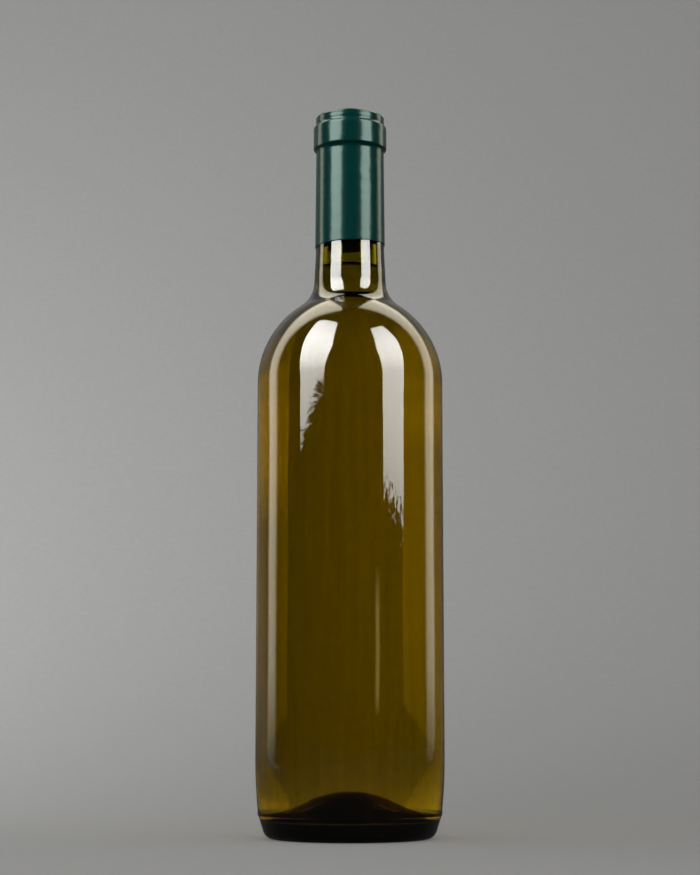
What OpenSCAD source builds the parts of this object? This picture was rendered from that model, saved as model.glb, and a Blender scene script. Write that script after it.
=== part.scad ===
// Sealed wine bottle with high square shoulders: clear olive glass, white wine,
// stopper and shrunk-on neck capsule. Everything is round about the Z axis and
// stands on z = 0.

/* [Body] */
// Outer diameter of the straight body
body_d = 75.5; // [72:0.5:80]
// Height at which the shoulder starts
shoulder_z = 182.8; // [150:0.2:190]
// Wall thickness of the body and the shoulder
wall_t = 2.9; // [2:0.1:3.5]

/* [Neck] */
// Radius of the hollow curve from the shoulder into the neck
neck_curve_r = 13.3; // [12:0.1:14]
// Outer diameter of the neck where that curve ends
neck_base_d = 29.4; // [28.8:0.1:30]
// Outer diameter of the neck at the lower edge of the capsule
neck_mid_d = 28.2; // [28:0.1:28.6]
// Outer diameter of the neck just under the finish ring
neck_top_d = 27.5; // [27.2:0.1:28]
// Diameter of the bore at the lip
bore_d = 18.5; // [18:0.1:19]
// Diameter of the bore at the foot of the neck
bore_foot_d = 20.8; // [20:0.1:21.4]

/* [Finish] */
// Height of the lip of the glass
lip_z = 295.2; // [290:0.2:310]
// Outer diameter of the lip
lip_d = 27.5; // [27.2:0.1:28]
// Outer diameter of the ring below the lip
ring_d = 29.7; // [29.4:0.1:30.6]
// Height of the ring, from its lower to its upper edge
ring_h = 10.2; // [9:0.2:12]
// Depth of the ring's upper edge below the lip
ring_drop = 4.2; // [3.4:0.1:5]

/* [Base] */
// Diameter of the ring that the bottle stands on
stand_d = 60.6; // [59:0.2:62]
// Height of the mould seam round the heel
seam_z = 9.4; // [8:0.1:11]
// Depth of the hollow under the base
punt_h = 15.5; // [8:0.5:20]
// Glass thickness at the top of that hollow
punt_t = 4.2; // [3:0.1:6]

/* [Contents] */
// Height of the wine's surface
wine_z = 230.2; // [228:0.2:236]
// Length of the stopper
cork_len = 45; // [38:1:49]
// Distance of the stopper's top below the lip
cork_drop = 1; // [0.5:0.5:3]

/* [Capsule] */
// Thickness of the capsule's film
film_t = 0.3; // [0.2:0.05:0.5]
// Height of the capsule's lower edge on the axis
capsule_z = 240; // [238:0.2:246]
// Tilt of that edge, which is cut slightly crooked, in degrees
capsule_tilt = 2.3; // [0:0.1:4]
// Radius of the fine ridges round the capsule's lip
ridge_r = 0.28; // [0.15:0.01:0.35]

/* [Hidden] */
$fn = 96;

body_r = body_d / 2;
in_r = body_r - wall_t;

// A rounded corner or bend: centre, radius and the angles it runs between
function arc(cx, cz, r, a0, a1, n = 12) =
    [for (i = [0:n]) let (a = a0 + (a1 - a0) * i / n) [cx + r * cos(a), cz + r * sin(a)]];
function reverse(p) = [for (i = [len(p) - 1:-1:0]) p[i]];

// Shoulder: one arc about a point on the axis, then a hollow curve that ends upright
// at neck radius nr. Both are tangent, so the angle where they meet fixes the heights.
function bend_angle(r, nr, cr) = acos((nr + cr) / (r + cr));
function bend_z(r, nr, cr) = shoulder_z + (r + cr) * sin(bend_angle(r, nr, cr));
function shoulder(r, nr, cr) =
    let (a = bend_angle(r, nr, cr))
    concat(arc(0, shoulder_z, r, 0, a, 24),
           arc(nr + cr, bend_z(r, nr, cr), cr, 180 + a, 180, 14));

// Heel: the base mould ends at the seam, and a long arc leads from there to the body.
// The arc's lowest part is left out, so the wall comes down straight onto the seam.
heel_corner_r = 4.4;
heel_slope = 17;
seam_step = 0.2;
seam_half_h = 0.2;
heel_blend_h = 22;
heel_in = 1.25;
heel_blend_r = (pow(heel_blend_h, 2) + pow(heel_in, 2)) / (2 * heel_in);
heel_blend_a = asin(heel_blend_h / heel_blend_r);
heel_blend_used = 0.9;
stand_r = stand_d / 2;
// Where the sloping side of the base mould leaves its rounded corner
slope_r = stand_r + heel_corner_r * cos(heel_slope);
slope_z = heel_corner_r * (1 - sin(heel_slope));
slope_top_r = slope_r + (seam_z - slope_z) * tan(heel_slope);
seam_r = body_r - heel_in + seam_step;

function heel() = concat(
    arc(stand_r, heel_corner_r, heel_corner_r, -90, -heel_slope, 8),
    [[slope_top_r, seam_z - 2 * seam_half_h], [seam_r, seam_z - seam_half_h],
     [seam_r, seam_z + seam_half_h]],
    arc(body_r - heel_blend_r, seam_z + 2 * seam_half_h + heel_blend_h, heel_blend_r,
        -heel_blend_used * heel_blend_a, 0, 10));

// Push-up under the bottle: a cone with a round crown of radius cr and a round foot of
// radius fr, whose lowest point is at radius foot_r. The cone's flank is tangent to
// both, which fixes its angle.
function flank(rise, k, foot_r) =
    asin(k / norm([foot_r, rise - k])) + atan2(rise - k, foot_r);
function pushup(top_z, cr, foot_z, fr, foot_r) =
    let (a = flank(top_z - foot_z, cr + fr, foot_r))
    concat(arc(0, top_z - cr, cr, 90, 90 - a, 8),
           arc(foot_r, foot_z + fr, fr, 270 - a, 270, 8));

// Wine side of the base: a groove runs round the push-up
groove_z = 7;
groove_bend_r = 6;
groove_crown_r = 24;
groove_corner_r = 4.8;
groove_r = in_r - groove_corner_r;
dome_z = punt_h + punt_t;

// Underside: its foot ends just inside the ring that the bottle stands on
under_bend_r = 2.4;
under_crown_r = 18;
under_foot_r = stand_r - 1.4;

// Neck and finish
neck_base_r = neck_base_d / 2;
ring_top_z = lip_z - ring_drop;
ring_low_z = ring_top_z - ring_h;
ring_r = ring_d / 2;
ring_round = 1.1;
lip_round = 1;
lip_bevel = 0.5;
under_ring_h = 1;
// The capsule's outline starts this far below its lower edge, and is then cut off
below_edge = 2;
// Depths of the ridges below the lip
ridge_drops = [0.8, 2.2];

// Outside of the neck from the capsule's edge to the lip, grown outwards by t
function finish(t) = concat(
    [[neck_mid_d / 2 + t, capsule_z - below_edge],
     [neck_top_d / 2 + t, ring_low_z - under_ring_h]],
    arc(ring_r - ring_round, ring_low_z + ring_round, ring_round + t, -60, 0, 5),
    arc(ring_r - ring_round, ring_top_z - ring_round, ring_round + t, 0, 75, 6),
    [[lip_d / 2 + t, ring_top_z + t]],
    arc(lip_d / 2 - lip_round, lip_z - lip_round, lip_round + t, 0, 90, 6));

// Bore, and its flare into the shoulder
bore_r = bore_d / 2;
bore_foot_r = bore_foot_d / 2;
flare_r = neck_curve_r + neck_base_r - bore_foot_r;
bore_foot_z = bend_z(in_r, bore_foot_r, flare_r);
function bore_at(z) =
    bore_r + (bore_foot_r - bore_r) * (lip_z - z) / (lip_z - bore_foot_z);

function outer_outline() = concat(
    pushup(punt_h, under_crown_r, 0, under_bend_r, under_foot_r),
    heel(), shoulder(body_r, neck_base_r, neck_curve_r), finish(0));
function inner_outline() = concat(
    pushup(dome_z, groove_crown_r, groove_z, groove_bend_r, groove_r),
    arc(groove_r, groove_z + groove_corner_r, groove_corner_r, -90, 0, 10),
    shoulder(in_r, bore_foot_r, flare_r));

module glass_bottle()
    color([0.34, 0.28, 0.05, 0.5])
    rotate_extrude()
    polygon(concat(outer_outline(),
                   [[bore_r + lip_bevel, lip_z], [bore_r, lip_z - lip_bevel]],
                   reverse(inner_outline())));

module wine()
    color([0.45, 0.36, 0.05, 0.7])
    rotate_extrude()
    polygon(concat(inner_outline(), [[bore_at(wine_z), wine_z], [0, wine_z]]));

module cork() {
    top_z = lip_z - cork_drop;
    low_z = top_z - cork_len;
    color([0.72, 0.55, 0.36])
    translate([0, 0, low_z])
    cylinder(h = cork_len, r1 = bore_at(low_z), r2 = bore_at(top_z));
}

// Ridges stand on the outside of the lip, where the film has shrunk round it
module ridge(z)
    rotate_extrude()
    translate([lip_d / 2 + film_t - ridge_r / 3, z])
    circle(r = ridge_r, $fn = 32);

module capsule() {
    trim = 4 * ring_d;
    color([0.05, 0.24, 0.22])
    difference() {
        union() {
            rotate_extrude()
            polygon(concat(finish(film_t), [[0, lip_z + film_t], [0, lip_z]],
                           reverse(finish(0))));
            for (drop = ridge_drops) ridge(lip_z - drop);
        }
        translate([0, 0, capsule_z])
        rotate([0, -capsule_tilt, 0])
        translate([0, 0, -trim / 2])
        cube(trim, center = true);
    }
}

glass_bottle();
wine();
cork();
capsule();
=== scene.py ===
"""Looks of a sealed wine bottle: olive glass, white wine, stopper and neck capsule.

Each outline is worked out from the frame's boxes and a few driving sizes, and one
Geometry Nodes tree turns it about the bottle's axis. Lengths are in metres.
"""

import math

import bpy
from mathutils import Matrix, Vector


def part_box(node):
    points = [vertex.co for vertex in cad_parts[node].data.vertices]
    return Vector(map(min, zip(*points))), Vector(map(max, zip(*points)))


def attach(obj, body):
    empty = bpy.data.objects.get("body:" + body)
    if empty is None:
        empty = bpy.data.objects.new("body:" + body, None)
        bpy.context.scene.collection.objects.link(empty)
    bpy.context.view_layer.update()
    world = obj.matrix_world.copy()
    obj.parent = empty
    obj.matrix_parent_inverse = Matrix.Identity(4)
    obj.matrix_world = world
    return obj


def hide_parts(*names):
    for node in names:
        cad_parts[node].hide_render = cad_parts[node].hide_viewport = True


bl_info = {
    "name": "Wine Bottle Maker",
    "version": (1, 0, 0),
    "blender": (4, 5, 0),
    "location": "3D View > Sidebar > Bottle",
    "description": "Makes a sealed wine bottle and the studio it stands in",
    "category": "Add Mesh",
}

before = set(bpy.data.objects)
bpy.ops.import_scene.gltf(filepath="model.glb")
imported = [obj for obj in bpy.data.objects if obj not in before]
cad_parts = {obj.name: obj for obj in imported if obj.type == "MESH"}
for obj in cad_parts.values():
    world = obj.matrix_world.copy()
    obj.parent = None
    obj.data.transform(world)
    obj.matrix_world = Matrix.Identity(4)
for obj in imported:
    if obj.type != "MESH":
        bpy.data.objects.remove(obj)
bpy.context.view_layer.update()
GLASS_LOW, GLASS_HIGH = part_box("glass_bottle")
WINE_LOW, WINE_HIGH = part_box("wine")
CORK_LOW, CORK_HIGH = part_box("cork")
CAPSULE_LOW, CAPSULE_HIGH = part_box("capsule")

MM = 0.001
AIR_IOR = 1.0
GLASS_IOR = 1.52
WINE_IOR = 1.34
# Thickness of the capsule's film, which lies on the glass all over
FILM = 0.3 * MM
# Height on the neck where its middle radius holds
NECK_MID_Z = 238 * MM


# ---------------------------------------------------------------- settings


class BottleSizes(bpy.types.PropertyGroup):
    """Driving sizes of the glass that the frame's boxes don't give"""

    shoulder_z: bpy.props.FloatProperty(
        name="Shoulder height", description="Height at which the shoulder starts",
        default=182.8 * MM, unit="LENGTH")
    neck_curve_r: bpy.props.FloatProperty(
        name="Neck curve", description="Radius of the hollow curve into the neck",
        default=13.3 * MM, unit="LENGTH")
    neck_base_r: bpy.props.FloatProperty(
        name="Neck foot radius", description="Outer radius where the neck starts",
        default=14.7 * MM, unit="LENGTH")
    neck_mid_r: bpy.props.FloatProperty(
        name="Neck middle radius", description="Outer radius at the capsule's edge",
        default=14.1 * MM, unit="LENGTH")
    neck_top_r: bpy.props.FloatProperty(
        name="Neck top radius", description="Outer radius just under the finish ring",
        default=13.75 * MM, unit="LENGTH")
    bore_r: bpy.props.FloatProperty(
        name="Bore radius", description="Radius of the bore at the lip",
        default=9.25 * MM, unit="LENGTH")
    bore_foot_r: bpy.props.FloatProperty(
        name="Bore foot radius", description="Radius of the bore at the neck's foot",
        default=10.4 * MM, unit="LENGTH")
    ring_h: bpy.props.FloatProperty(
        name="Ring height", description="Height of the finish ring",
        default=10.2 * MM, unit="LENGTH")
    ring_drop: bpy.props.FloatProperty(
        name="Ring drop", description="Depth of the ring's upper edge below the lip",
        default=4.2 * MM, unit="LENGTH")
    stand_r: bpy.props.FloatProperty(
        name="Stand radius", description="Radius of the ring that the bottle stands on",
        default=30.3 * MM, unit="LENGTH")
    seam_z: bpy.props.FloatProperty(
        name="Seam height", description="Height of the mould seam round the heel",
        default=9.4 * MM, unit="LENGTH")
    punt_h: bpy.props.FloatProperty(
        name="Punt height", description="Depth of the hollow under the base",
        default=15.5 * MM, unit="LENGTH")
    dome_z: bpy.props.FloatProperty(
        name="Dome height", description="Height of the push-up on the wine's side",
        default=19.7 * MM, unit="LENGTH")
    unevenness: bpy.props.FloatProperty(
        name="Wall unevenness", description="How much the inner wall wanders",
        default=0.22 * MM, unit="LENGTH")
    segments: bpy.props.IntProperty(
        name="Segments", description="Faces round the axis", default=200, min=32, max=256)


class ContentSizes(bpy.types.PropertyGroup):
    """Sizes of the wine and the stopper"""

    reach: bpy.props.FloatProperty(
        name="Reach", description="How far the wine's skin reaches into the wall",
        default=0.4 * MM, unit="LENGTH")
    meniscus_h: bpy.props.FloatProperty(
        name="Meniscus height", description="How high the wine climbs the wall",
        default=1.1 * MM, unit="LENGTH")
    meniscus_w: bpy.props.FloatProperty(
        name="Meniscus width", description="Distance over which that rise dies away",
        default=1.5 * MM, unit="LENGTH")
    cork_bevel: bpy.props.FloatProperty(
        name="Cork bevel", description="Rounding of the stopper's edges",
        default=0.5 * MM, unit="LENGTH")


class CapsuleSizes(bpy.types.PropertyGroup):
    """Sizes of the capsule's film"""

    film: bpy.props.FloatProperty(
        name="Film", description="Thickness of the film", default=FILM, unit="LENGTH")
    tilt: bpy.props.FloatProperty(
        name="Edge tilt", description="How far the lower edge is cut off level",
        default=math.radians(2.3), subtype="ANGLE")
    ridge_h: bpy.props.FloatProperty(
        name="Ridge height", description="How far the ridges round the lip stand out",
        default=0.17 * MM, unit="LENGTH")
    ridge_w: bpy.props.FloatProperty(
        name="Ridge width", description="Width of one ridge",
        default=0.45 * MM, unit="LENGTH")


class Finishes(bpy.types.PropertyGroup):
    """Colours of the finishes"""

    glass_tint: bpy.props.FloatVectorProperty(
        name="Glass tint", description="Light that 1 mm of the glass lets through",
        default=(0.787, 0.765, 0.29), subtype="COLOR", min=0.001, max=1)
    wine_tint: bpy.props.FloatVectorProperty(
        name="Wine tint", description="Light that 10 mm of the wine lets through",
        default=(0.995, 0.937, 0.79), subtype="COLOR", min=0.001, max=1)
    capsule: bpy.props.FloatVectorProperty(
        name="Capsule", description="Colour of the capsule's film",
        default=(0.0, 0.0075, 0.0068), subtype="COLOR", min=0, max=1)
    cork: bpy.props.FloatVectorProperty(
        name="Cork", description="Colour of the stopper",
        default=(0.50, 0.31, 0.16), subtype="COLOR", min=0, max=1)
    paper: bpy.props.FloatVectorProperty(
        name="Paper", description="Colour of the floor and the backdrop",
        default=(0.32, 0.32, 0.315), subtype="COLOR", min=0, max=1)


class Studio(bpy.types.PropertyGroup):
    """The camera and the size of the set"""

    camera_distance: bpy.props.FloatProperty(
        name="Camera distance", description="From the bottle's axis, along the floor",
        default=0.810, unit="LENGTH")
    camera_height: bpy.props.FloatProperty(
        name="Camera height", description="Height above the floor",
        default=0.0473, unit="LENGTH")
    camera_tilt: bpy.props.FloatProperty(
        name="Camera tilt", description="How far the camera looks up",
        default=math.radians(7.97), subtype="ANGLE")
    focal_length: bpy.props.FloatProperty(
        name="Focal length", description="Focal length of the lens, in millimetres",
        default=82.5)
    floor_size: bpy.props.FloatProperty(
        name="Floor size", description="Width of the paper sweep",
        default=5.0, unit="LENGTH")
    sweep_y: bpy.props.FloatProperty(
        name="Sweep distance", description="How far behind the bottle the sweep rises",
        default=0.1, unit="LENGTH")
    sweep_r: bpy.props.FloatProperty(
        name="Sweep size", description="Depth and height of the bend to the backdrop",
        default=1.6, unit="LENGTH")


# ---------------------------------------------------------------- outlines
# An outline is a list of (radius, height, contact) points that goes up the outside
# from the axis and back to it. contact is 1 where glass and wine touch.


def arc(centre_r, centre_z, radius, start, end, steps=12):
    """Points of a rounded corner or bend; the angles are in degrees"""
    points = []
    for i in range(steps + 1):
        a = math.radians(start + (end - start) * i / steps)
        points.append((centre_r + radius * math.cos(a), centre_z + radius * math.sin(a)))
    return points


def shoulder(sizes, radius, neck_r, curve_r):
    """One arc about a point on the axis, then a tangent hollow curve into the neck"""
    bend = math.acos((neck_r + curve_r) / (radius + curve_r))
    end_z = sizes.shoulder_z + (radius + curve_r) * math.sin(bend)
    bend = math.degrees(bend)
    return (arc(0, sizes.shoulder_z, radius, 0, bend, 40)
            + arc(neck_r + curve_r, end_z, curve_r, 180 + bend, 180, 24))


def pushup(top_z, crown_r, foot_z, foot_bend, foot_r):
    """The raised middle of the base: a cone with a round crown, and a round foot whose
    lowest point is at foot_r. Its flank is tangent to both, which fixes its angle."""
    bends = crown_r + foot_bend
    rise = top_z - foot_z - bends
    flank = math.asin(bends / math.hypot(foot_r, rise)) + math.atan2(rise, foot_r)
    flank = math.degrees(flank)
    return (arc(0, top_z - crown_r, crown_r, 90, 90 - flank, 14)
            + arc(foot_r, foot_z + foot_bend, foot_bend, 270 - flank, 270, 12))


def heel(sizes, body_r):
    """The base mould's rounded corner and sloping side, its seam, and the long arc above,
    whose lowest part is left out so that the wall comes down straight onto the seam"""
    corner, slope = 4.4 * MM, 17
    step, half = 0.2 * MM, 0.2 * MM
    blend_h, inset, blend_used = 22 * MM, 1.25 * MM, 0.9
    slope_r = sizes.stand_r + corner * math.cos(math.radians(slope))
    slope_z = corner * (1 - math.sin(math.radians(slope)))
    rise = sizes.seam_z - slope_z
    top_r = slope_r + rise * math.tan(math.radians(slope))
    seam_r = body_r - inset + step
    blend_r = (blend_h ** 2 + inset ** 2) / (2 * inset)
    blend_a = math.degrees(math.asin(blend_h / blend_r))
    return (arc(sizes.stand_r, corner, corner, -90, -slope, 14)
            + [(top_r, sizes.seam_z - half), (seam_r, sizes.seam_z - half),
               (seam_r, sizes.seam_z + half)]
            + arc(body_r - blend_r, sizes.seam_z + 2 * half + blend_h, blend_r,
                  -blend_used * blend_a, 0, 16))


def finish_outline(sizes, grow):
    """Outside of the neck from below the capsule's edge to the lip, grown outwards"""
    lip_z = GLASS_HIGH.z
    lip_r = sizes.neck_top_r
    ring_r = CAPSULE_HIGH.x - FILM
    ring_top = lip_z - sizes.ring_drop
    ring_low = ring_top - sizes.ring_h
    edge, lip_edge, under_ring = 1.1 * MM, 1.0 * MM, 1.0 * MM
    return ([(sizes.neck_mid_r + grow, NECK_MID_Z),
             (sizes.neck_top_r + grow, ring_low - under_ring)]
            + arc(ring_r - edge, ring_low + edge, edge + grow, -60, 0, 8)
            + arc(ring_r - edge, ring_top - edge, edge + grow, 0, 75, 8)
            + [(lip_r + grow, ring_top + grow)]
            + arc(lip_r - lip_edge, lip_z - lip_edge, lip_edge + grow, 0, 90, 8))


def held(points, near=0.07 * MM):
    """The same outline with points added close to its sharp corners, so that smooth
    shading turns there and not over the long faces beside them"""
    sharpest = math.radians(11)
    result = [points[0]]
    for a, b, c in zip(points, points[1:], points[2:]):
        before, after = math.dist(a[:2], b[:2]), math.dist(b[:2], c[:2])
        bend = abs(math.atan2(c[1] - b[1], c[0] - b[0]) - math.atan2(b[1] - a[1], b[0] - a[0]))
        bend = min(bend, 2 * math.pi - bend)
        sharp = bend > sharpest
        if sharp and before > 4 * near:
            result.append(tuple(y + (x - y) * near / before for x, y in zip(a, b)))
        result.append(b)
        if sharp and after > 4 * near:
            result.append(tuple(x + (y - x) * near / after for x, y in zip(b, c)))
    return result + [points[-1]]


def filled_in(points, longest=2.5 * MM):
    """The same outline with its long straight stretches cut into short ones"""
    result = [points[0]]
    for a, b in zip(points, points[1:]):
        pieces = max(1, math.ceil(math.dist(a[:2], b[:2]) / longest))
        for i in range(1, pieces + 1):
            t = i / pieces
            result.append(tuple(x + (y - x) * t for x, y in zip(a, b)))
    return result


def bore_radius(sizes, z):
    """Radius of the bore at a height, from the foot of the neck to the lip"""
    foot_z = inner_outline(sizes)[-1][1]
    lip_z = GLASS_HIGH.z
    widening = (sizes.bore_foot_r - sizes.bore_r) / (lip_z - foot_z)
    return sizes.bore_r + widening * (lip_z - z)


def inner_outline(sizes):
    """The wine's side of the glass, from the middle of the base to the neck's foot"""
    inner_r = WINE_HIGH.x
    groove_z = WINE_LOW.z
    crown, foot, corner = 24 * MM, 6 * MM, 4.8 * MM
    groove_r = inner_r - corner
    base = pushup(sizes.dome_z, crown, groove_z, foot, groove_r)
    flare_r = sizes.neck_curve_r + sizes.neck_base_r - sizes.bore_foot_r
    return (base + arc(groove_r, groove_z + corner, corner, -90, 0, 14)
            + shoulder(sizes, inner_r, sizes.bore_foot_r, flare_r))


def contact_z(contents):
    """Height at which the wine's surface meets the wall"""
    return WINE_HIGH.z + contents.meniscus_h


# ---------------------------------------------------------------- lathe


def link(tree, source, target):
    """Joins two sockets, given as (node, name or index) pairs"""
    tree.links.new(source[0].outputs[source[1]], target[0].inputs[target[1]])


def maths(tree, operation, a, b=None):
    """A maths node; each input is a number or a (node, output) pair"""
    node = tree.nodes.new("ShaderNodeMath")
    node.operation = operation
    for i, value in enumerate((a, b)):
        if isinstance(value, tuple):
            link(tree, value, (node, i))
        elif value is not None:
            node.inputs[i].default_value = value
    return node, 0


def vector_maths(tree, operation, a, b=None):
    """A vector maths node; each input is a vector or a (node, output) pair. The second
    one of SCALE is a (node, output) pair with the factor."""
    node = tree.nodes.new("ShaderNodeVectorMath")
    node.operation = operation
    for i, value in ((0, a), ("Scale" if operation == "SCALE" else 1, b)):
        if value is None:
            continue
        if len(value) == 2:
            link(tree, value, (node, i))
        else:
            node.inputs[i].default_value = value
    return node, 0


def noise_on(tree, place, scale=1.0, detail=2.0, roughness=0.5):
    """Noise at a place; the scale is a number or a (node, output) pair"""
    node = tree.nodes.new("ShaderNodeTexNoise")
    node.inputs["Detail"].default_value = detail
    node.inputs["Roughness"].default_value = roughness
    if isinstance(scale, tuple):
        link(tree, scale, (node, "Scale"))
    else:
        node.inputs["Scale"].default_value = scale
    link(tree, place, (node, "Vector"))
    return node, 0


def sample_outline(tree, source, kind, value, row):
    """Reads a value of the outline's point with the given number"""
    node = tree.nodes.new("GeometryNodeSampleIndex")
    node.data_type = kind
    node.domain = "POINT"
    link(tree, source, (node, "Geometry"))
    link(tree, value, (node, "Value"))
    link(tree, row, (node, "Index"))
    return node, 0


def named(tree, name):
    """A float attribute of the geometry"""
    node = tree.nodes.new("GeometryNodeInputNamedAttribute")
    node.data_type = "FLOAT"
    node.inputs["Name"].default_value = name
    return node, 0


def lathe_tree():
    """Turns an outline about Z. Row i of the grid is the outline's point i, and the
    columns go round. Inner walls wander a little, as blown glass does."""
    tree = bpy.data.node_groups.new("Lathe", "GeometryNodeTree")
    add = tree.interface.new_socket
    add("Outline", in_out="INPUT", socket_type="NodeSocketGeometry")
    add("Segments", in_out="INPUT", socket_type="NodeSocketInt").default_value = 128
    add("Unevenness", in_out="INPUT", socket_type="NodeSocketFloat")
    add("Edge Tilt", in_out="INPUT", socket_type="NodeSocketFloat")
    add("Edge Height", in_out="INPUT", socket_type="NodeSocketFloat")
    add("Finish", in_out="INPUT", socket_type="NodeSocketMaterial")
    add("Body", in_out="OUTPUT", socket_type="NodeSocketGeometry")
    given = tree.nodes.new("NodeGroupInput")
    result = tree.nodes.new("NodeGroupOutput")
    outline = (given, "Outline")

    size = tree.nodes.new("GeometryNodeAttributeDomainSize")
    link(tree, outline, (size, 0))
    columns = maths(tree, "ADD", (given, "Segments"), 1)
    grid = tree.nodes.new("GeometryNodeMeshGrid")
    link(tree, (size, "Point Count"), (grid, "Vertices X"))
    link(tree, columns, (grid, "Vertices Y"))

    index = (tree.nodes.new("GeometryNodeInputIndex"), 0)
    share = maths(tree, "DIVIDE", maths(tree, "ADD", index, 0.5), columns)
    row = maths(tree, "FLOOR", share)
    column = maths(tree, "SUBTRACT", index, maths(tree, "MULTIPLY", row, columns))
    place = (tree.nodes.new("GeometryNodeInputPosition"), 0)
    point = sample_outline(tree, outline, "FLOAT_VECTOR", place, row)
    parts = tree.nodes.new("ShaderNodeSeparateXYZ")
    link(tree, point, (parts, 0))
    angle = maths(tree, "DIVIDE", maths(tree, "MULTIPLY", column, 2 * math.pi),
                  (given, "Segments"))
    x = maths(tree, "MULTIPLY", (parts, 0), maths(tree, "COSINE", angle))
    y = maths(tree, "MULTIPLY", (parts, 0), maths(tree, "SINE", angle))
    # The lower edge of the capsule is cut on a slant, which fades out upwards
    slant_h = 8 * MM
    above = maths(tree, "SUBTRACT", (parts, 2), (given, "Edge Height"))
    hang = maths(tree, "SUBTRACT", 1.0, maths(tree, "DIVIDE", above, slant_h))
    hang = maths(tree, "MINIMUM", maths(tree, "MAXIMUM", hang, 0.0), 1.0)
    slant = maths(tree, "MULTIPLY", maths(tree, "MULTIPLY", x, (given, "Edge Tilt")), hang)
    z = maths(tree, "ADD", (parts, 2), slant)
    turned = tree.nodes.new("ShaderNodeCombineXYZ")
    for i, value in enumerate((x, y, z)):
        link(tree, value, (turned, i))

    revolve = tree.nodes.new("GeometryNodeSetPosition")
    link(tree, (grid, "Mesh"), (revolve, "Geometry"))
    link(tree, (turned, 0), (revolve, "Position"))
    last = (revolve, 0)
    for name in ("contact", "inner"):
        value = sample_outline(tree, outline, "FLOAT", named(tree, name), row)
        store = tree.nodes.new("GeometryNodeStoreNamedAttribute")
        store.data_type = "FLOAT"
        store.domain = "POINT"
        store.inputs["Name"].default_value = name
        link(tree, last, (store, "Geometry"))
        link(tree, value, (store, "Value"))
        last = (store, 0)
    merge = tree.nodes.new("GeometryNodeMergeByDistance")
    merge.inputs["Distance"].default_value = 0.002 * MM
    link(tree, last, (merge, "Geometry"))

    # Wander of the inner wall: slow along the height, quicker round the axis
    noise = noise_on(tree, vector_maths(tree, "MULTIPLY", place, (70, 70, 9)), 1.0, 3.0, 0.62)
    swing = maths(tree, "MULTIPLY", maths(tree, "SUBTRACT", noise, 0.5), 2.0)
    swing = maths(tree, "MULTIPLY", swing, (given, "Unevenness"))
    swing = maths(tree, "MULTIPLY", swing, named(tree, "inner"))
    normal = (tree.nodes.new("GeometryNodeInputNormal"), 0)
    wander = tree.nodes.new("GeometryNodeSetPosition")
    link(tree, (merge, 0), (wander, "Geometry"))
    link(tree, vector_maths(tree, "SCALE", normal, swing), (wander, "Offset"))

    last = (wander, 0)
    for kind in ("FlipFaces", "SetShadeSmooth", "RealizeInstances", "SetMaterial"):
        node = tree.nodes.new("GeometryNode" + kind)
        link(tree, last, (node, 0))
        last = (node, 0)
    link(tree, (given, "Finish"), (node, "Material"))
    link(tree, last, (result, 0))
    return tree


def lathed(name, outline, material, segments, unevenness=0.0, tilt=0.0, edge_z=0.0):
    """A closed, smooth piece turned from an outline, as a plain mesh at the origin"""
    mesh = bpy.data.meshes.new(name + "_outline")
    mesh.from_pydata([(p[0], 0, p[1]) for p in outline],
                     [(i, i + 1) for i in range(len(outline) - 1)], [])
    for slot, column in (("contact", 2), ("inner", 3)):
        values = [p[column] for p in outline]
        mesh.attributes.new(slot, "FLOAT", "POINT").data.foreach_set("value", values)
    source = bpy.data.objects.new(name + "_outline", mesh)
    bpy.context.collection.objects.link(source)
    tree = bpy.data.node_groups.get("Lathe") or lathe_tree()
    turn = source.modifiers.new("Lathe", "NODES")
    turn.node_group = tree
    values = {"Segments": segments, "Unevenness": unevenness, "Edge Tilt": tilt,
              "Edge Height": edge_z, "Finish": material}
    for socket in tree.interface.items_tree:
        if socket.name in values:
            turn[socket.identifier] = values[socket.name]
    turned = source.evaluated_get(bpy.context.evaluated_depsgraph_get())
    result = bpy.data.meshes.new_from_object(turned)
    result.name = name
    bpy.data.objects.remove(source)
    piece = bpy.data.objects.new(name, result)
    bpy.context.collection.objects.link(piece)
    return piece


def hand_over(piece, node):
    """Hangs a piece on the root body, so that it moves with it, and hides the CAD node that it
    stands in for
    """
    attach(piece, "root")
    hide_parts(node)


# ---------------------------------------------------------------- finishes


def group_ends(name, inputs, outputs):
    """A new shader node group with its sockets, and its input and output nodes"""
    tree = bpy.data.node_groups.new(name, "ShaderNodeTree")
    for label, kind, value in inputs:
        socket = tree.interface.new_socket(label, in_out="INPUT", socket_type=kind)
        socket.default_value = value
    for label, kind in outputs:
        tree.interface.new_socket(label, in_out="OUTPUT", socket_type=kind)
    return tree, tree.nodes.new("NodeGroupInput"), tree.nodes.new("NodeGroupOutput")


def noise_at(tree, scale, detail=2.0, stretch=(1, 1, 1)):
    """Noise on Object coordinates, stretched along the axes"""
    where = tree.nodes.new("ShaderNodeTexCoord")
    mapping = tree.nodes.new("ShaderNodeMapping")
    mapping.inputs["Scale"].default_value = stretch
    link(tree, (where, "Object"), (mapping, 0))
    return noise_on(tree, (mapping, 0), scale, detail)


def ranged(tree, value, low, high, to_low, to_high):
    """Maps a value from one range to another, clamped"""
    node = tree.nodes.new("ShaderNodeMapRange")
    link(tree, value, (node, "Value"))
    limits = (("From Min", low), ("From Max", high), ("To Min", to_low), ("To Max", to_high))
    for label, number in limits:
        if isinstance(number, tuple):
            link(tree, number, (node, label))
        else:
            node.inputs[label].default_value = number
    return node, 0


def geometry_parts(tree, output):
    """The three parts of one of the Geometry node's vectors"""
    where = tree.nodes.new("ShaderNodeNewGeometry")
    parts = tree.nodes.new("ShaderNodeSeparateXYZ")
    link(tree, (where, output), (parts, 0))
    return (parts, 0), (parts, 1), (parts, 2)


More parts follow.
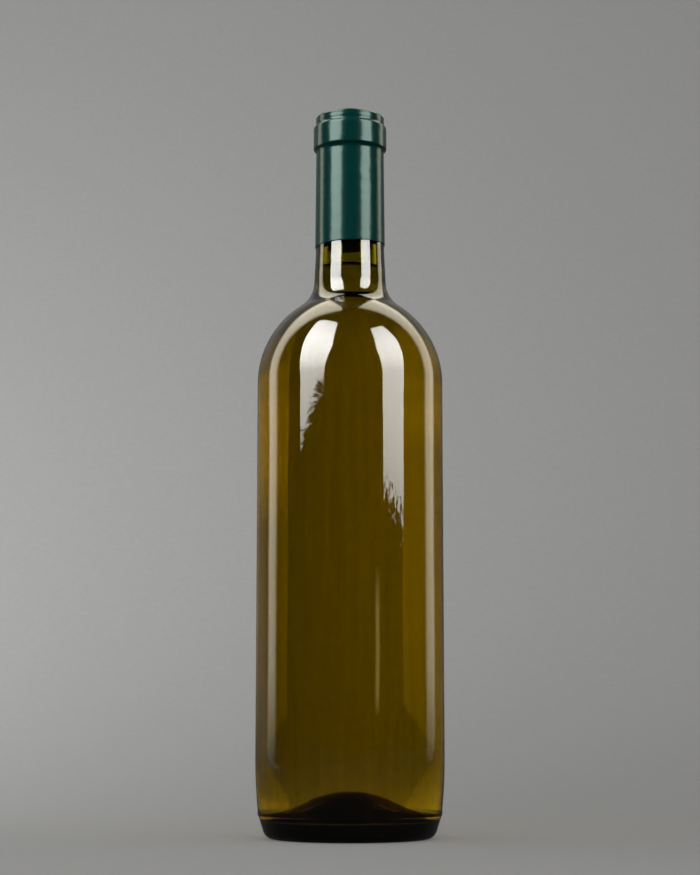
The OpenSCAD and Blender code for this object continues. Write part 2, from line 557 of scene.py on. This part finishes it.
def product(tree, first, *others):
    """Values multiplied together"""
    for other in others:
        first = maths(tree, "MULTIPLY", first, other)
    return first


def mixed(tree, share, low, high):
    """A colour between two others, each three numbers or a (node, output) pair"""
    node = tree.nodes.new("ShaderNodeMix")
    node.data_type = "RGBA"
    link(tree, share, (node, 0))
    for slot, colour in ((6, low), (7, high)):
        if len(colour) == 2:
            link(tree, colour, (node, slot))
        else:
            node.inputs[slot].default_value = (*colour, 1)
    return node, 2


def shaded(colour, factor):
    """A darker or lighter version of a colour"""
    return [min(c * factor, 1) for c in colour]


def handling_group():
    """Faint smears and dust from handling, as a mask from 0 to 1"""
    known = bpy.data.node_groups.get("Handling Marks")
    if known:
        return known
    tree, given, result = group_ends(
        "Handling Marks",
        [("Scale", "NodeSocketFloat", 40.0), ("Cover", "NodeSocketFloat", 0.5)],
        [("Mask", "NodeSocketFloat")])
    smears = noise_at(tree, (given, "Scale"), 4.0, (1.0, 1.0, 0.35))
    dust = noise_at(tree, 2600.0, 1.0)
    low = maths(tree, "SUBTRACT", 1.0, (given, "Cover"))
    smears = ranged(tree, smears, low, 0.95, 0.0, 0.8)
    dust = ranged(tree, dust, 0.72, 0.8, 0.0, 0.6)
    link(tree, maths(tree, "MAXIMUM", smears, dust), (result, "Mask"))
    return tree


def flow_group():
    """Height of the slow waves that a mould and shrinking leave in a surface"""
    known = bpy.data.node_groups.get("Flow Waves")
    if known:
        return known
    tree, given, result = group_ends(
        "Flow Waves",
        [("Scale", "NodeSocketFloat", 60.0), ("Along", "NodeSocketFloat", 0.3)],
        [("Height", "NodeSocketFloat")])
    where = tree.nodes.new("ShaderNodeTexCoord")
    stretch = tree.nodes.new("ShaderNodeCombineXYZ")
    stretch.inputs[0].default_value = 1.0
    stretch.inputs[1].default_value = 1.0
    link(tree, (given, "Along"), (stretch, 2))
    stretched = vector_maths(tree, "MULTIPLY", (where, "Object"), (stretch, 0))
    link(tree, noise_on(tree, stretched, (given, "Scale"), 1.5), (result, "Height"))
    return tree


def placed_group(tree, group, **values):
    """A node group placed in a material with its own values"""
    node = tree.nodes.new("ShaderNodeGroup")
    node.node_tree = group
    for label, value in values.items():
        node.inputs[label].default_value = value
    return node, 0


def bump(tree, height, distance, strength=1.0):
    """A bump node from a height, whose full swing is distance metres"""
    node = tree.nodes.new("ShaderNodeBump")
    node.inputs["Distance"].default_value = distance
    node.inputs["Strength"].default_value = strength
    link(tree, height, (node, "Height"))
    return node, 0


def new_material(name):
    """An empty node material, its tree, its Principled BSDF and its output"""
    material = bpy.data.materials.new(name)
    material.use_nodes = True
    tree = material.node_tree
    shader = next(n for n in tree.nodes if n.type == "BSDF_PRINCIPLED")
    output = next(n for n in tree.nodes if n.type == "OUTPUT_MATERIAL")
    return material, tree, shader, output


def absorb(tree, output, tint, thickness):
    """Makes a solid take off light by its depth: tint is what the thickness passes"""
    loss = [-math.log(c) / thickness for c in tint]
    density = max(loss) * 1.05
    volume = tree.nodes.new("ShaderNodeVolumeAbsorption")
    volume.inputs["Density"].default_value = density
    volume.inputs["Color"].default_value = (*[1 - x / density for x in loss], 1)
    link(tree, (volume, 0), (output, "Volume"))


def clear_material(name, tint, thickness, open_ior, contact_ior):
    """A clear coloured solid. Where it touches its neighbour, the ray bends by the
    ratio of the two, so the pair has no air gap between its pieces."""
    material, tree, shader, output = new_material(name)
    shader.inputs["Base Color"].default_value = (1, 1, 1, 1)
    shader.inputs["Transmission Weight"].default_value = 1.0
    shader.inputs["Metallic"].default_value = 0.0
    shader.inputs["Roughness"].default_value = 0.0
    shader.inputs["IOR"].default_value = open_ior
    touch = tree.nodes.new("ShaderNodeAttribute")
    touch.attribute_name = "contact"
    ior = ranged(tree, (touch, "Fac"), 0.49, 0.51, open_ior, contact_ior)
    link(tree, ior, (shader, "IOR"))
    absorb(tree, output, tint, thickness)
    return material, tree, shader


def glass_material(finishes):
    """Olive bottle glass: clear, slightly wavy, with faint handling marks"""
    material, tree, shader = clear_material(
        "olive_glass", finishes.glass_tint, 1 * MM, GLASS_IOR, GLASS_IOR / WINE_IOR)
    marks = placed_group(tree, handling_group(), Scale=34.0, Cover=0.42)
    link(tree, ranged(tree, marks, 0.0, 1.0, 0.0, 0.05), (shader, "Roughness"))
    waves = placed_group(tree, flow_group(), Scale=75.0, Along=0.3)
    link(tree, bump(tree, waves, 0.10 * MM), (shader, "Normal"))
    streaks = noise_at(tree, 330.0, 3.0, (1.0, 1.0, 0.035))
    tone = mixed(tree, ranged(tree, streaks, 0.4, 0.6, 0.0, 1.0), (1, 1, 1),
                 (0.91, 0.90, 0.86))
    link(tree, tone, (shader, "Base Color"))
    return material


def wine_material(finishes):
    """Clear golden wine"""
    return clear_material("white_wine", finishes.wine_tint, 10 * MM, WINE_IOR, AIR_IOR)[0]


def cork_material(finishes):
    """Natural cork: mottled, with dark pores that run across the grain"""
    material, tree, shader, output = new_material("cork")
    mottle = noise_at(tree, 260.0, 5.0)
    pores = noise_at(tree, 420.0, 2.0, (1.0, 1.0, 3.2))
    pores = ranged(tree, pores, 0.62, 0.7, 0.0, 1.0)
    tone = finishes.cork
    body = mixed(tree, ranged(tree, mottle, 0.35, 0.65, 0.0, 1.0), shaded(tone, 0.68),
                 shaded(tone, 1.25))
    link(tree, mixed(tree, pores, body, shaded(tone, 0.22)), (shader, "Base Color"))
    shader.inputs["Roughness"].default_value = 0.85
    sunk = maths(tree, "MULTIPLY", pores, -1.0)
    link(tree, bump(tree, sunk, 0.3 * MM), (shader, "Normal"))
    return material


def capsule_material(finishes):
    """Dark blue-green shrink film with a satin gloss and fine rolled lines"""
    material, tree, shader, output = new_material("capsule_film")
    tone = mixed(tree, noise_at(tree, 120.0, 4.0, (1.0, 1.0, 4.0)),
                 shaded(finishes.capsule, 0.85), shaded(finishes.capsule, 1.25))
    link(tree, tone, (shader, "Base Color"))
    marks = placed_group(tree, handling_group(), Scale=90.0, Cover=0.5)
    link(tree, ranged(tree, marks, 0.0, 1.0, 0.19, 0.26), (shader, "Roughness"))
    shader.inputs["IOR"].default_value = 1.31
    shader.inputs["Specular Tint"].default_value = (0.72, 1.0, 0.93, 1)
    rolled = noise_at(tree, 300.0, 2.0, (1.0, 1.0, 9.0))
    waves = placed_group(tree, flow_group(), Scale=160.0, Along=1.6)
    height = maths(tree, "ADD", maths(tree, "MULTIPLY", rolled, 0.12), waves)
    link(tree, bump(tree, height, 0.12 * MM), (shader, "Normal"))
    return material


def paper_material(finishes):
    """Matt grey studio paper with a faint fibre grain"""
    material, tree, shader, output = new_material("studio_paper")
    grain = mixed(tree, noise_at(tree, 220.0, 6.0), shaded(finishes.paper, 0.94),
                  shaded(finishes.paper, 1.06))
    # Painted reflection: for reflections the lower part of the paper is painted darker than
    # it is, and its upper part a little lighter
    kind = tree.nodes.new("ShaderNodeLightPath")
    mirrored = maths(tree, "SUBTRACT", (kind, "Is Glossy Ray"), (kind, "Is Transmission Ray"))
    height = geometry_parts(tree, "Position")[2]
    share = maths(tree, "ADD", ranged(tree, height, 0.0, 0.08, 0.18, 0.3),
                  ranged(tree, height, 0.45, 1.0, 0.0, 1.0))
    share = ranged(tree, mirrored, 0.0, 1.0, 1.0, share)
    link(tree, vector_maths(tree, "SCALE", grain, share), (shader, "Base Color"))
    shader.inputs["Roughness"].default_value = 0.9
    shader.inputs["Specular IOR Level"].default_value = 0.2
    link(tree, bump(tree, noise_at(tree, 500.0, 4.0), 0.2 * MM, 0.5), (shader, "Normal"))
    return material


# ---------------------------------------------------------------- operators


class BOTTLE_OT_glass(bpy.types.Operator):
    """Make the hollow glass bottle with its push-up, heel seam and finish ring"""

    bl_idname = "bottle.glass"
    bl_label = "Glass"

    def execute(self, context):
        sizes, contents = context.scene.bottle_sizes, context.scene.bottle_contents
        body_r, lip_z = GLASS_HIGH.x, GLASS_HIGH.z
        crown, foot, inset = 18 * MM, 2.4 * MM, 1.4 * MM
        under = pushup(sizes.punt_h, crown, 0.0, foot, sizes.stand_r - inset)
        outside = (under + heel(sizes, body_r)
                   + shoulder(sizes, body_r, sizes.neck_base_r, sizes.neck_curve_r)
                   + finish_outline(sizes, 0.0))
        outside = [(r, z, 0.0, 0.0) for r, z in outside]
        bore_r, bevel = sizes.bore_r, 0.5 * MM
        lip = [(bore_r + bevel, lip_z, 0.0, 0.0), (bore_r, lip_z - bevel, 0.0, 0.0)]
        wet_z = contact_z(contents)
        dry_z = wet_z + 0.02 * MM
        dry = [(bore_radius(sizes, dry_z), dry_z, 0.0, 1.0)]
        wet = [(bore_radius(sizes, wet_z), wet_z, 1.0, 1.0)]
        inside = [(r, z, 1.0, 1.0) for r, z in reversed(inner_outline(sizes))]
        outline = filled_in(held(outside + lip + dry)) + filled_in(held(wet + inside))
        piece = lathed("glass", outline, glass_material(context.scene.bottle_finishes),
                       sizes.segments, sizes.unevenness)
        hand_over(piece, "glass_bottle")
        return {"FINISHED"}


class BOTTLE_OT_wine(bpy.types.Operator):
    """Make the wine up to its level, with its skin just inside the wall"""

    bl_idname = "bottle.wine"
    bl_label = "Wine"

    def execute(self, context):
        sizes, contents = context.scene.bottle_sizes, context.scene.bottle_contents
        side = inner_outline(sizes)
        edge_z = contact_z(contents)
        wall_r = bore_radius(sizes, edge_z)
        side.append((wall_r, edge_z))
        skin = []
        for i, (r, z) in enumerate(side):
            before, after = side[max(i - 1, 0)], side[min(i + 1, len(side) - 1)]
            dr, dz = after[0] - before[0], after[1] - before[1]
            length = math.hypot(dr, dz)
            skin.append((max(r + contents.reach * dz / length, 0.0),
                         z - contents.reach * dr / length, 1.0, 0.0))
        skin[0] = (0.0, skin[0][1], 1.0, 0.0)
        # The skin comes back almost to the wall just under the surface
        rim = 0.05 * MM
        skin.append((wall_r + rim, edge_z, 1.0, 0.0))
        surface = []
        steps = 40
        for i in range(steps + 1):
            away = wall_r * (i / steps) ** 2
            rise = contents.meniscus_h * math.exp(-away / contents.meniscus_w)
            surface.append((wall_r - away, WINE_HIGH.z + rise, 0.0, 0.0))
        outline = filled_in(skin) + surface
        piece = lathed("wine_fill", outline, wine_material(context.scene.bottle_finishes),
                       sizes.segments)
        hand_over(piece, "wine")
        return {"FINISHED"}


class BOTTLE_OT_stopper(bpy.types.Operator):
    """Make the stopper that fills the bore under the capsule"""

    bl_idname = "bottle.stopper"
    bl_label = "Stopper"

    def execute(self, context):
        sizes, bevel = context.scene.bottle_sizes, context.scene.bottle_contents.cork_bevel
        low, high = CORK_LOW.z, CORK_HIGH.z
        low_r, high_r = bore_radius(sizes, low), bore_radius(sizes, high)
        outline = ([(0.0, low)] + arc(low_r - bevel, low + bevel, bevel, -90, 0, 6)
                   + arc(high_r - bevel, high - bevel, bevel, 0, 90, 6) + [(0.0, high)])
        outline = filled_in([(r, z, 0.0, 0.0) for r, z in outline])
        segments = 96
        piece = lathed("stopper", outline, cork_material(context.scene.bottle_finishes),
                       segments)
        hand_over(piece, "cork")
        return {"FINISHED"}


class BOTTLE_OT_capsule(bpy.types.Operator):
    """Make the capsule: thin film over the finish, ridged at the lip, crooked below"""

    bl_idname = "bottle.capsule"
    bl_label = "Capsule"

    def execute(self, context):
        sizes, capsule = context.scene.bottle_sizes, context.scene.bottle_capsule
        film = capsule.film
        edge_z = CAPSULE_LOW.z + math.tan(capsule.tilt) * CAPSULE_HIGH.x
        narrowing_h = 35 * MM
        slope = (sizes.neck_top_r - sizes.neck_mid_r) / narrowing_h
        edge_r = sizes.neck_mid_r + slope * (edge_z - NECK_MID_Z)
        outer, inner = finish_outline(sizes, film)[1:], finish_outline(sizes, 0.0)[1:]
        edge = arc(edge_r + film / 2, edge_z + film / 2, film / 2, 180, 360, 6)
        lip_z = GLASS_HIGH.z
        outside = filled_in([(r, z, 0.0, 0.0) for r, z in edge + outer], 0.6 * MM)
        # Ridges stand round the lip's side, at these depths below the lip
        side_r = sizes.neck_top_r - 0.5 * MM
        ridge_drops = (0.8 * MM, 2.2 * MM)
        ridged = []
        for r, z, contact, within in outside:
            for drop in ridge_drops:
                near = (z - (lip_z - drop)) / capsule.ridge_w
                if r > side_r:
                    r += capsule.ridge_h * math.exp(-4 * near ** 2)
            ridged.append((r, z, contact, within))
        top = [(0.0, lip_z + film, 0.0, 0.0), (0.0, lip_z, 0.0, 0.0)]
        back = [(r, z, 0.0, 0.0) for r, z in reversed(inner)]
        outline = [top[1]] + back + ridged + [top[0]]
        piece = lathed("capsule_shell", outline,
                       capsule_material(context.scene.bottle_finishes), sizes.segments,
                       0.0, math.tan(capsule.tilt), edge_z)
        hand_over(piece, "capsule")
        return {"FINISHED"}


def soft_panel(name, size, place, target, strength, tint, along=(0, 0, 1)):
    """A soft box: a glowing rectangle that faces a point and that the camera can't see.
    Its second size runs along the given direction. Returns the lamp, its node tree and
    the socket that takes the brightness over the panel, from 0 to 1."""
    data = bpy.data.lights.new(name, "AREA")
    data.shape = "RECTANGLE"
    data.size, data.size_y = size
    data.energy = strength * size[0] * size[1] * math.pi
    data.color = tint
    data.use_nodes = True
    lamp = bpy.data.objects.new(name, data)
    bpy.context.collection.objects.link(lamp)
    facing = (place - target).normalized()
    across = Vector(along).cross(facing).normalized()
    turn = Matrix((across, facing.cross(across), facing)).transposed()
    lamp.matrix_world = Matrix.Translation(place) @ turn.to_4x4()
    lamp.visible_camera = False
    lamp.light_linking.receiver_collection = bpy.data.collections["off_paper"]
    glow = next(n for n in data.node_tree.nodes if n.type == "EMISSION")
    return lamp, data.node_tree, (glow, "Strength")


def around(azimuth, elevation, distance, centre):
    """A place seen from a centre: azimuth 0 is towards the front, 90 to the right"""
    a, e = math.radians(azimuth), math.radians(elevation)
    flat = distance * math.cos(e)
    step = Vector((flat * math.sin(a), -flat * math.cos(a), distance * math.sin(e)))
    return centre + step


def front_box(name, size, place, target, strength, tint, peak, cut, fray):
    """A soft box that is brightest round a height, with a slanted and frayed lower edge.
    Each number of cut says how far its left or right top corner is cut off. fray holds
    the edge's height, slant and swing, and how fine it is across and along the box."""
    tree, glow = soft_panel(name, size, place, target, strength, tint)[1:]
    level, slant, swing, across, along = fray
    falloff, blur = 2.2, 0.009
    side, rise, _ = geometry_parts(tree, "Parametric")
    off = maths(tree, "SUBTRACT", rise, peak)
    lit = maths(tree, "SUBTRACT", 1.0, product(tree, off, off, falloff))
    spread = tree.nodes.new("ShaderNodeCombineXYZ")
    link(tree, product(tree, side, across), (spread, 0))
    link(tree, product(tree, rise, along), (spread, 1))
    noise = noise_on(tree, (spread, 0))
    ragged = product(tree, maths(tree, "SUBTRACT", noise, 0.5), swing)
    tilted = product(tree, maths(tree, "SUBTRACT", side, 0.5), slant)
    edge = maths(tree, "ADD", maths(tree, "ADD", rise, ragged), tilted)
    lit = product(tree, lit, ranged(tree, edge, level - blur, level + blur, 0.0, 1.0))
    # A corner's line runs where the way to its side and the height add up to a limit
    lean, corner_limit, corner_blur = 1.4, 2.4, 0.05
    for way, depth in zip((maths(tree, "SUBTRACT", 1.0, side), side), cut):
        corner = maths(tree, "ADD", product(tree, way, lean), rise)
        low = corner_limit - depth
        lit = product(tree, lit, ranged(tree, corner, low, low + corner_blur, 1.0, 0.0))
    link(tree, lit, glow)


def arch_panel(name, sector, centre, reach, strength, tint, cone, width):
    """Part of a soft band that arches over the bottle from side to side. The sector is
    in degrees from overhead, the cone is the band's angle from the front, and the width
    is half of the band's width at the sides. Each panel glows only inside its own
    sector, so the band has no seams."""
    low, high = sector
    lean, off = math.radians((low + high) / 2), math.radians(cone)
    way = (math.sin(off) * math.sin(lean), -math.cos(off), math.sin(off) * math.cos(lean))
    along = (math.cos(lean), 0, -math.sin(lean))
    breadth, overlap = 0.62, 1.05
    length = 2 * overlap * reach * math.tan(math.radians(abs(high - low) / 2))
    tree, glow = soft_panel(name, (breadth, length), centre + Vector(way) * reach, centre,
                            strength, tint, along)[1:]
    where = tree.nodes.new("ShaderNodeNewGeometry")
    away = vector_maths(tree, "SUBTRACT", (where, "Position"), centre)
    parts = tree.nodes.new("ShaderNodeSeparateXYZ")
    link(tree, vector_maths(tree, "NORMALIZE", away), (parts, 0))
    front = product(tree, (parts, 1), -1.0)
    angle = maths(tree, "DEGREES", maths(tree, "ARCCOSINE", front))
    tilt = maths(tree, "DEGREES", maths(tree, "ARCTAN2", (parts, 0), (parts, 2)))
    # The band is wide overhead and narrows towards the sides, with soft edges
    steep = maths(tree, "ABSOLUTE", tilt)
    half = ranged(tree, steep, 14.0, 50.0, 15.0, width)
    off_band = maths(tree, "ABSOLUTE", maths(tree, "SUBTRACT", angle, cone))
    band = ranged(tree, maths(tree, "SUBTRACT", off_band, half), -3.0, 2.5, 1.0, 0.0)
    inside = product(tree, maths(tree, "GREATER_THAN", tilt, min(low, high)),
                     maths(tree, "LESS_THAN", tilt, max(low, high)))
    # It is dark at the floor and grows brighter in three stretches of height
    height = geometry_parts(tree, "Position")[2]
    rising = ranged(tree, height, 0.0, 0.09, 0.0, 0.45)
    for foot, head, gain in ((0.09, 0.35, 0.40), (0.7, 0.95, 0.15)):
        rising = maths(tree, "ADD", rising, ranged(tree, height, foot, head, 0.0, gain))
    link(tree, product(tree, band, inside, rising), glow)


class BOTTLE_OT_stage(bpy.types.Operator):
    """Make the paper sweep, the soft boxes, the surroundings and the camera"""

    bl_idname = "bottle.stage"
    bl_label = "Stage"

    def execute(self, context):
        studio = context.scene.bottle_studio
        self.sweep(context, studio)
        self.lamps(context)
        self.surroundings(context)
        self.camera(context, studio)
        context.scene.view_settings.view_transform = "Standard"
        return {"FINISHED"}

    def sweep(self, context, studio):
        """The paper: flat under the bottle, then bending up behind it"""
        half = studio.floor_size / 2
        # The paper curves up more and more steeply, so that it shows no horizon
        line = [(-half, 0.0)]
        steps = 32
        for i in range(steps + 1):
            t = i / steps
            line.append((studio.sweep_y + studio.sweep_r * t, studio.sweep_r * t ** 3))
        top_run, top_rise = 1.0, 3.0
        line.append((line[-1][0] + top_run, line[-1][1] + top_rise))
        points = [(side * half, y, z) for y, z in line for side in (-1, 1)]
        faces = [(2 * i, 2 * i + 1, 2 * i + 3, 2 * i + 2) for i in range(len(line) - 1)]
        mesh = bpy.data.meshes.new("paper_sweep")
        mesh.from_pydata(points, [], faces)
        mesh.shade_smooth()
        mesh.materials.append(paper_material(context.scene.bottle_finishes))
        sweep = bpy.data.objects.new("paper_sweep", mesh)
        context.collection.objects.link(sweep)
        # The soft boxes light everything but the paper
        on_paper = bpy.data.collections.new("on_paper")
        on_paper.objects.link(sweep)
        off_paper = bpy.data.collections.new("off_paper")
        off_paper.objects.link(sweep)
        off_paper.collection_objects[0].light_linking.link_state = "EXCLUDE"

    def lamps(self, context):
        """Two soft boxes in front, a band that arches over, and smaller lights"""
        centre = (GLASS_LOW + GLASS_HIGH) / 2
        white, warm = (1.0, 1.0, 0.955), (1.0, 0.93, 0.73)
        distance = 0.75
        front_box("front_left", (0.465, 0.92), around(-47, 39, distance, centre), centre,
                  19.5, white, 0.56, (0.0, 0.48), (0.044, -0.07, 0.11, 2.0, 220.0))
        # This box reaches lower than its middle says
        drop = Vector((0.015, -0.011, -0.029))
        front_box("front_right", (0.40, 0.87), around(54, 33, distance, centre) + drop,
                  centre + drop, 16.0, white, 0.60, (0.42, 0.3),
                  (0.080, 0.035, 0.12, 10.0, 90.0))
        crown = Vector((0, 0, context.scene.bottle_sizes.shoulder_z))
        reach = 0.95
        for side, bright, cone, width in ((-1, 4.8, 108.5, 8.0), (1, 3.8, 114, 9.5)):
            for i, sector in enumerate(((6, 36), (36, 63), (63, 90), (90, 117))):
                sector = [side * a for a in sector]
                arch_panel(f"arch_{side:+d}_{i}", sector, crown, reach, bright, warm,
                           cone, width)
        self.low_cards(warm)
        self.slit()
        self.paper_light()

    def low_cards(self, tint):
        """Two dim cards behind the bottle, brighter at the top and at their outer ends,
        which the bottle's sides gather into gold bands"""
        distance, top = 0.6, 0.288
        # Azimuth, half width in degrees, inner and outer ends across the card, height
        # where the bright part starts and its blur, and the brightness of the dim and
        # the bright part at the two ends
        for name, azimuth, half, inner, outer, low, soft, dim, bright in (
                ("card_right", 141.5, 19.5, 0.9, 0.1, 0.183, 0.044, (0.2, 0.62), (0.36, 1.6)),
                ("card_left", -143, 22, 0.3, 1.0, 0.24, 0.015, (0.25, 0.95), (0.38, 1.65))):
            middle = around(azimuth, 0, distance, Vector((0, 0, top / 2)))
            size = (2 * distance * math.tan(math.radians(half)), top)
            lamp, tree, glow = soft_panel(name, size, middle, Vector((0, 0, middle.z)),
                                          1.0, tint)
            lamp.visible_glossy = False
            across, up, _ = geometry_parts(tree, "Parametric")
            dark = product(tree, ranged(tree, across, inner, outer, *dim),
                           ranged(tree, up, 0.0, 0.4, 0.35, 1.0))
            light = ranged(tree, across, inner, outer, *bright)
            rising = ranged(tree, up, low / top, (low + soft) / top, 0.0, 1.0)
            fading = ranged(tree, up, 0.93, 1.0, 1.0, 0.4)
            mask = product(tree, rising, fading)
            link(tree, ranged(tree, mask, 0.0, 1.0, dark, light), glow)

    def slit(self):
        """A faint upright slit of gold light, low on the right"""
        distance, height, gold = 0.75, 0.105, (1.0, 0.82, 0.25)
        middle = around(32.4, 0, distance, Vector((0, 0, height)))
        lamp, tree, glow = soft_panel("slit", (0.10, 0.11), middle,
                                      Vector((0, 0, height)), 2.6, gold)
        lamp.visible_transmission = False
        side, up, _ = geometry_parts(tree, "Parametric")
        off = maths(tree, "ABSOLUTE", maths(tree, "SUBTRACT", side, 0.5))
        across = ranged(tree, off, 0.0, 0.5, 1.0, 0.0)
        starting = ranged(tree, up, 0.0, 0.15, 0.0, 1.0)
        ending = ranged(tree, up, 0.7, 1.0, 1.0, 0.0)
        link(tree, product(tree, across, starting, ending), glow)

    def paper_light(self):
        """Two lamps that only light the paper: the backdrop from the left, and the floor"""
        for name, place, aim, power in (
                ("wall_light", Vector((-0.9, 0.1, 0.25)), Vector((0.2, 1.6, 0.65)), 14.0),
                ("floor_light", Vector((-0.2, -0.7, 0.35)), Vector((0, -0.3, 0)), 2.2)):
            data = bpy.data.lights.new(name, "AREA")
            data.size = 0.5
            data.energy = power
            data.use_shadow = False
            lamp = bpy.data.objects.new(name, data)
            bpy.context.collection.objects.link(lamp)
            lamp.location = place
            lamp.rotation_euler = (aim - place).to_track_quat("-Z", "Y").to_euler()
            lamp.visible_camera = lamp.visible_glossy = lamp.visible_transmission = False
            lamp.light_linking.receiver_collection = bpy.data.collections["on_paper"]

    def surroundings(self, context):
        """An even room round the set, which reflections don't show"""
        world = bpy.data.worlds.new("room")
        world.use_nodes = True
        tree = world.node_tree
        shade = next(n for n in tree.nodes if n.type == "BACKGROUND")
        shade.inputs["Color"].default_value = (1.0, 1.0, 0.985, 1)
        # Bright where it lights matt surfaces, as grey as the paper where it is seen
        seen, lighting = 0.3, 0.62
        kind = tree.nodes.new("ShaderNodeLightPath")
        link(tree, ranged(tree, (kind, "Is Diffuse Ray"), 0.0, 1.0, seen, lighting),
             (shade, "Strength"))
        world.cycles_visibility.glossy = False
        context.scene.world = world

    def camera(self, context, studio):
        """A camera in front of the bottle, close to the floor and looking up a little"""
        data = bpy.data.cameras.new("camera")
        data.lens = studio.focal_length
        data.sensor_width = 36.0
        camera = bpy.data.objects.new("camera", data)
        context.collection.objects.link(camera)
        camera.location = (0, -studio.camera_distance, studio.camera_height)
        camera.rotation_euler = (math.radians(90) + studio.camera_tilt, 0, 0)
        context.scene.camera = camera


class BOTTLE_PT_panel(bpy.types.Panel):
    """Buttons and settings for the bottle"""

    bl_idname = "BOTTLE_PT_panel"
    bl_label = "Wine Bottle"
    bl_space_type = "VIEW_3D"
    bl_region_type = "UI"
    bl_category = "Bottle"

    def draw(self, context):
        for operator in OPERATORS:
            self.layout.operator(operator.bl_idname)
        for name in SETTINGS:
            group = getattr(context.scene, name)
            box = self.layout.box()
            for prop in group.bl_rna.properties:
                if prop.identifier not in ("rna_type", "name"):
                    box.prop(group, prop.identifier)


SETTINGS = {
    "bottle_sizes": BottleSizes,
    "bottle_contents": ContentSizes,
    "bottle_capsule": CapsuleSizes,
    "bottle_finishes": Finishes,
    "bottle_studio": Studio,
}
OPERATORS = (
    BOTTLE_OT_stage,
    BOTTLE_OT_glass,
    BOTTLE_OT_wine,
    BOTTLE_OT_stopper,
    BOTTLE_OT_capsule,
)


def register():
    """Registers the classes and hangs the settings on the scene"""
    for cls in (*SETTINGS.values(), *OPERATORS, BOTTLE_PT_panel):
        bpy.utils.register_class(cls)
    for name, cls in SETTINGS.items():
        setattr(bpy.types.Scene, name, bpy.props.PointerProperty(type=cls))


def unregister():
    """Takes the settings and the classes away again"""
    for name in SETTINGS:
        delattr(bpy.types.Scene, name)
    for cls in (BOTTLE_PT_panel, *reversed(OPERATORS), *SETTINGS.values()):
        bpy.utils.unregister_class(cls)


def main():
    """Makes everything in order"""
    register()
    bpy.ops.bottle.stage()
    bpy.ops.bottle.glass()
    bpy.ops.bottle.wine()
    bpy.ops.bottle.stopper()
    bpy.ops.bottle.capsule()


if __name__ == "__main__":
    main()
